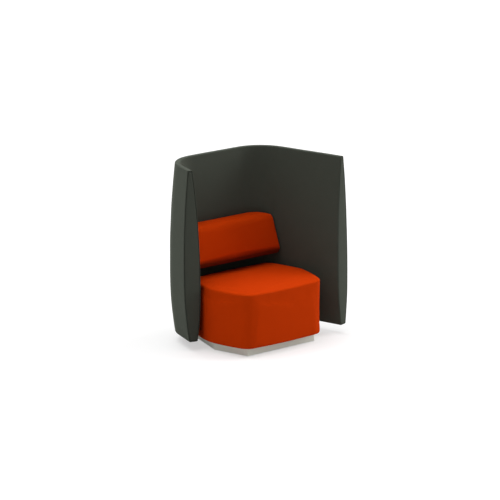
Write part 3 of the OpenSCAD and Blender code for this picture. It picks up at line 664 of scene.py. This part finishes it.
def make_lumbar():
    """The back cushion, from the roll below it up its raked face to its top."""
    rings = []
    for k in range(10):
        e, rise = rounded(9 * k - 90)
        z = LUMBAR_Z + LUMBAR_ROLL_H * (1 + rise)
        rings.append(lumbar_ring(z, LUMBAR_ROLL_D * e, LUMBAR_LOW_END_R * e, LUMBAR_LOW_REAR_R * e))
    rows = 20
    face_h = LUMBAR_H - LUMBAR_ROLL_H - LUMBAR_TOP_R
    for k in range(rows + 1):
        rings.append(lumbar_ring(LUMBAR_Z + LUMBAR_ROLL_H + face_h * k / rows, 0, 0, 0))
    for k in range(1, 8):
        e, rise = rounded(90 / 7 * k)
        z = LUMBAR_Z + LUMBAR_H - LUMBAR_TOP_R * (1 - rise)
        rings.append(lumbar_ring(z, LUMBAR_TOP_R * e, LUMBAR_END_R * e, LUMBAR_TOP_REAR_R * e))
    obj = padded_form("lumbar_cushion", rings, start=3, across=76, crown=LUMBAR_TOP_CROWN)
    back = SEAT_Y + LUMBAR_BACK_Y
    held_y = back - LUMBAR_HELD
    stuff(obj, LUMBAR_SWELL, lambda p: 1.0 if p.y > held_y else 0.0, pressure=1)
    for v in obj.data.vertices:
        v.co.y = min(v.co.y, back)
    ease(obj, amount=0.0006, size=0.1, seed=3)
    subdivide(obj)
    return obj


# Materials
class Nodes:
    """A short way to build a material's node tree."""

    def __init__(self, name):
        self.mat = bpy.data.materials.new(name)
        self.mat.use_nodes = True
        self.tree = self.mat.node_tree
        self.bsdf = self.tree.nodes["Principled BSDF"]
        self.coords = self.add("ShaderNodeTexCoord").outputs["Object"]

    def add(self, kind, **inputs):
        node = self.tree.nodes.new(kind)
        for key, value in inputs.items():
            self.feed(node, key.replace("_", " "), value)
        return node

    def feed(self, node, key, value):
        self.put(node.inputs[key], value)

    def put(self, socket, value):
        """Links a socket to another one, or gives it a plain value."""
        if isinstance(value, bpy.types.NodeSocket):
            self.tree.links.new(value, socket)
        else:
            socket.default_value = value

    def surface(self, **inputs):
        """Feeds the shader and gives the finished material."""
        for key, value in inputs.items():
            self.feed(self.bsdf, key.replace("_", " "), value)
        return self.mat

    def noise(self, scale, detail=3.0, roughness=0.5):
        looks = {"Scale": scale, "Detail": detail, "Roughness": roughness}
        return self.add("ShaderNodeTexNoise", Vector=self.coords, **looks).outputs["Fac"]

    def mix(self, fac, a, b):
        node = self.tree.nodes.new("ShaderNodeMix")
        node.data_type = "RGBA"
        for key, value in (("Factor_Float", fac), ("A_Color", a), ("B_Color", b)):
            self.put(next(s for s in node.inputs if s.identifier == key), value)
        return next(s for s in node.outputs if s.identifier == "Result_Color")

    def math(self, operation, a, b=0.0):
        node = self.tree.nodes.new("ShaderNodeMath")
        node.operation = operation
        for i, value in enumerate((a, b)):
            self.put(node.inputs[i], value)
        return node.outputs[0]

    def remap(self, value, lo, hi, to_lo, to_hi):
        ends = {"From Min": lo, "From Max": hi, "To Min": to_lo, "To Max": to_hi}
        return self.add("ShaderNodeMapRange", Value=value, **ends).outputs["Result"]

    def bump(self, height, strength, distance, under=None):
        node = self.add("ShaderNodeBump", Height=height, Strength=strength, Distance=distance)
        if under is not None:
            self.feed(node, "Normal", under)
        return node.outputs["Normal"]


def tone(rgb, k):
    """The colour made k times as bright, with its alpha."""
    return tuple(min(1, c * k) for c in rgb) + (1,)


def weave(n, pitch):
    """Height of a plain weave: bands along all three axes, of which two cross on any face."""
    waves = []
    for direction in ("X", "Y", "Z"):
        looks = {"Scale": 0.5 / pitch, "Distortion": 0.6, "Detail": 1.0, "Detail Scale": 3.0}
        node = n.add("ShaderNodeTexWave", Vector=n.coords, **looks)
        node.wave_type = "BANDS"
        node.bands_direction = direction
        waves.append(node.outputs["Fac"])
    return n.math("MULTIPLY", n.math("ADD", waves[0], waves[1]), waves[2])


def cloth_material(name, rgb, spread, pitch=0.0022, sheen=0.1, shine=0.2, under=0.0):
    """Plain wool cloth: flecked yarn colour, a fine weave and a soft fuzz, with painted shade on
    faces that look down when under is set.
    """
    n = Nodes(name)
    fibre = n.noise(900, detail=4, roughness=0.7)
    yarn = n.noise(260, detail=3, roughness=0.6)
    cloud = n.noise(9, detail=2)
    fleck = n.remap(yarn, 0.3, 0.7, 0, 1)
    colour = n.mix(fleck, tone(rgb, 1 - spread), tone(rgb, 1 + spread))
    colour = n.mix(n.remap(cloud, 0.3, 0.7, 0, 0.5), colour, tone(rgb, 1 - spread * 0.6))
    colour = n.mix(n.remap(fibre, 0.35, 0.75, 0, 0.35), colour, tone(rgb, 1 + spread * 1.4))
    if under:
        # Painted shade: the more the cloth faces down, the more of the dark under colour it takes.
        normal = n.tree.nodes.new("ShaderNodeNewGeometry").outputs["Normal"]
        down = n.add("ShaderNodeSeparateXYZ", Vector=normal).outputs["Z"]
        colour = n.mix(n.remap(down, -0.28, 0.10, under, 0.0), colour, PAINTED_UNDERSIDE_SHADE_RGB + (1,))
    threads = n.bump(weave(n, pitch), strength=0.35, distance=0.0004)
    return n.surface(
        Base_Color=colour,
        Roughness=n.remap(fibre, 0.3, 0.7, 0.87, 1.0),
        Sheen_Weight=sheen,
        Sheen_Roughness=0.5,
        Sheen_Tint=tone(rgb, 1 / max(rgb)),
        Specular_IOR_Level=shine,
        Normal=n.bump(fibre, strength=0.25, distance=0.0005, under=threads),
    )


def wood_material(name, rgb, spread, rough, lacquer=0.0):
    """Timber or plywood with its grain along X, bare or lacquered."""
    n = Nodes(name)
    stretched = n.add("ShaderNodeMapping", Vector=n.coords, Scale=(2, 18, 18)).outputs["Vector"]
    looks = {"Scale": 6.0, "Detail": 6.0, "Roughness": 0.6, "Distortion": 0.4}
    grain = n.add("ShaderNodeTexNoise", Vector=stretched, **looks).outputs["Fac"]
    fleck = n.remap(grain, 0.3, 0.7, 0, 1)
    return n.surface(
        Base_Color=n.mix(fleck, tone(rgb, 1 - spread), tone(rgb, 1 + spread)),
        Roughness=n.remap(grain, 0.3, 0.7, rough - 0.05, rough + 0.08),
        Coat_Weight=lacquer,
        Coat_Roughness=0.3,
        Normal=n.bump(grain, strength=0.1, distance=0.0004),
    )


def hard_material(name, rgb, rough, metallic=0.0):
    """Metal or plastic with a fine grain and faint handling marks."""
    n = Nodes(name)
    fine = n.noise(1400, detail=2)
    marks = n.noise(30, detail=4, roughness=0.6)
    return n.surface(
        Base_Color=n.mix(n.remap(marks, 0.35, 0.75, 0, 1), tone(rgb, 0.92), tone(rgb, 1.08)),
        Metallic=metallic,
        Roughness=n.remap(marks, 0.3, 0.7, rough - 0.06, rough + 0.08),
        Normal=n.bump(fine, strength=0.15, distance=0.0002),
    )


def foam_material():
    """Open foam, with painted shade making the inside of its cells darker than their walls."""
    n = Nodes("foam")
    cells = n.add("ShaderNodeTexVoronoi", Vector=n.coords, Scale=450.0).outputs["Distance"]
    return n.surface(
        Base_Color=n.mix(cells, FOAM_CELL_SHADE_RGB + (1,), FOAM_PALE_RGB + (1,)),
        Roughness=0.95,
        Normal=n.bump(cells, strength=0.4, distance=0.0006),
    )


SCREEN_RGB = (0.0579, 0.0650, 0.0515)
SEAT_RGB = (0.61, 0.0440, 0.001)
# The dark colour of the painted shade on cloth that faces down
PAINTED_UNDERSIDE_SHADE_RGB = (0.055, 0.014, 0.004)
PLINTH_RGB = (0.94, 0.97, 0.87)
PLYWOOD_RGB = (0.52, 0.36, 0.19)
ZINC_RGB = (0.50, 0.50, 0.49)
# The painted shade inside the foam's cells, and the colour of their walls
FOAM_CELL_SHADE_RGB, FOAM_PALE_RGB = (0.62, 0.56, 0.40), (0.80, 0.75, 0.58)
WEB_RGB = PLASTIC_RGB = (0.02, 0.02, 0.02)
DUST_RGB = STEEL_RGB = (0.012, 0.012, 0.012)
SEAT_LOOK = {"spread": 0.05, "sheen": 0.05, "shine": 0.03}

MATERIALS = {
    "screen_fabric": cloth_material("screen_fabric", SCREEN_RGB, spread=0.10),
    "seat_fabric": cloth_material("seat_fabric", SEAT_RGB, **SEAT_LOOK),
    # The seat's cloth with painted shade on its downward faces, for the back cushion
    "cushion_fabric_painted_shade": cloth_material("cushion_fabric_painted_shade", SEAT_RGB, under=0.85, **SEAT_LOOK),
    "plinth_board": wood_material("plinth_board", PLINTH_RGB, spread=0.03, rough=0.5, lacquer=0.2),
    "plywood": wood_material("plywood", PLYWOOD_RGB, spread=0.12, rough=0.7),
    "foam": foam_material(),
    "webbing": cloth_material("webbing", WEB_RGB, spread=0.2, pitch=0.003),
    "dust_cloth": cloth_material("dust_cloth", DUST_RGB, spread=0.2, pitch=0.0012),
    "black_steel": hard_material("black_steel", STEEL_RGB, rough=0.45),
    "zinc_steel": hard_material("zinc_steel", ZINC_RGB, rough=0.32, metallic=1.0),
    "glide_plastic": hard_material("glide_plastic", PLASTIC_RGB, rough=0.5),
}


def paint(obj, name):
    obj.data.materials.clear()
    obj.data.materials.append(MATERIALS[name])


def dress_frame():
    """Gives each of the frame's own pieces its material."""
    for part in frame["record"]["subparts"]:
        paint(frame["nodes"][part["node"]], part["material_slot"])


def dress(obj, slot, *nodes, fill=None):
    """Puts a piece of the scene in the place of the frame's nodes."""
    paint(obj, slot)
    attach(obj, "chair")
    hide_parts(*nodes)
    return obj


# Camera, light and floor

# The camera's lens and sensor in millimetres, its angles, and its place from the seat's middle
CAMERA_LENS, CAMERA_SENSOR = 221.76, 36
CAMERA_AZIMUTH, CAMERA_ELEVATION = -39.14, 14.84
CAMERA_PLACE = (-13.054, -15.964, 6.119)
# The world's strength for light; to the camera it is white.
WORLD_LEVEL = 0.20
# The floor's half side, its grey for light and for the camera, and its glow to the camera
FLOOR_REACH = 60
FLOOR_LIGHT_GREY, FLOOR_SEEN_GREY, FLOOR_GLOW = 0.55, 0.60, 0.5
# Each sun's azimuth as the camera's, elevation, strength and spread
SUNS = {
    "key_right": (67, 25, 1.7, 40),
    "top": (0, 88, 1.0, 60),
    "high_left": (-110, 62, 0.36, 50),
    "low_left": (-100, 30, 0.25, 60),
    "high_rear": (180, 60, 0.85, 50),
}


def aim(obj, azimuth, elevation):
    obj.rotation_euler = (math.pi / 2 - math.radians(elevation), 0, math.radians(azimuth))


def make_camera():
    cam = bpy.data.cameras.new("camera")
    cam.sensor_width = CAMERA_SENSOR
    cam.lens = CAMERA_LENS
    cam.clip_end = 200
    obj = bpy.data.objects.new("camera", cam)
    x, y, z = CAMERA_PLACE
    obj.location = (SEAT_X + x, SEAT_Y + y, z)
    aim(obj, CAMERA_AZIMUTH, CAMERA_ELEVATION)
    bpy.context.scene.collection.objects.link(obj)
    bpy.context.scene.camera = obj


def camera_ray(tree):
    """1 for what the camera sees, straight or in gloss and glass."""
    path = tree.nodes.new("ShaderNodeLightPath")
    total = None
    for name in ("Is Camera Ray", "Is Glossy Ray", "Is Transmission Ray"):
        if total is None:
            total = path.outputs[name]
            continue
        add = tree.nodes.new("ShaderNodeMath")
        add.operation = "MAXIMUM"
        tree.links.new(total, add.inputs[0])
        tree.links.new(path.outputs[name], add.inputs[1])
        total = add.outputs[0]
    return total


def grey(level):
    return (level, level, level, 1)


def make_floor():
    """A pale floor, white to the camera but for the chair's shadow."""
    turns = ((-1, -1), (1, -1), (1, 1), (-1, 1))
    verts = [(FLOOR_REACH * x, FLOOR_REACH * y, 0) for x, y in turns]
    floor = new_object("floor", verts, [(0, 1, 2, 3)])
    n = Nodes("floor")
    seen = camera_ray(n.tree)
    floor.data.materials.append(n.surface(
        Base_Color=n.mix(seen, grey(FLOOR_LIGHT_GREY), grey(FLOOR_SEEN_GREY)),
        Roughness=0.9,
        Specular_IOR_Level=0.0,
        Emission_Color=grey(1),
        Emission_Strength=n.math("MULTIPLY", seen, FLOOR_GLOW),
    ))


def make_world():
    """An even white sky, dim as a light."""
    world = bpy.data.worlds.new("world")
    bpy.context.scene.world = world
    world.use_nodes = True
    tree = world.node_tree
    back = tree.nodes["Background"]
    back.inputs["Color"].default_value = grey(1)
    strength = tree.nodes.new("ShaderNodeMapRange")
    strength.inputs["To Min"].default_value = WORLD_LEVEL
    strength.inputs["To Max"].default_value = 1.0
    tree.links.new(camera_ray(tree), strength.inputs["Value"])
    tree.links.new(strength.outputs["Result"], back.inputs["Strength"])


def make_suns():
    """Very wide suns, as large soft boxes."""
    for name, (azimuth, elevation, strength, spread) in SUNS.items():
        data = bpy.data.lights.new(name, "SUN")
        data.energy = strength
        data.angle = math.radians(spread)
        obj = bpy.data.objects.new(name, data)
        aim(obj, azimuth, elevation)
        bpy.context.scene.collection.objects.link(obj)


scene = bpy.context.scene
scene.view_settings.view_transform = "Standard"
make_camera()
make_world()
make_suns()
make_floor()
dress_frame()
dress(
    make_screen_cover(), "screen_fabric",
    "screen_outer_pad", "screen_inner_pad", "screen_top_strip", "screen_bottom_strip", fill=0.9,
)
dress(make_screen_end(False), "screen_fabric", "screen_left_end", fill=0.9)
dress(make_screen_end(True), "screen_fabric", "screen_right_end", fill=0.9)
dress(make_seat(), "seat_fabric", "seat_cover", fill=0.9)
cushion = dress(make_lumbar(), "seat_fabric", "back_cushion", fill=0.85)
# The same cloth, with painted shade where it faces down
paint(cushion, "cushion_fabric_painted_shade")
dress(make_foam(), "foam", "seat_foam", fill=0.95)
dress(make_webbing(), "webbing", "seat_webbing")
dust_cloth, dust_size, dust_area = make_dust_cloth()
dress(dust_cloth, "dust_cloth", "dust_cover")
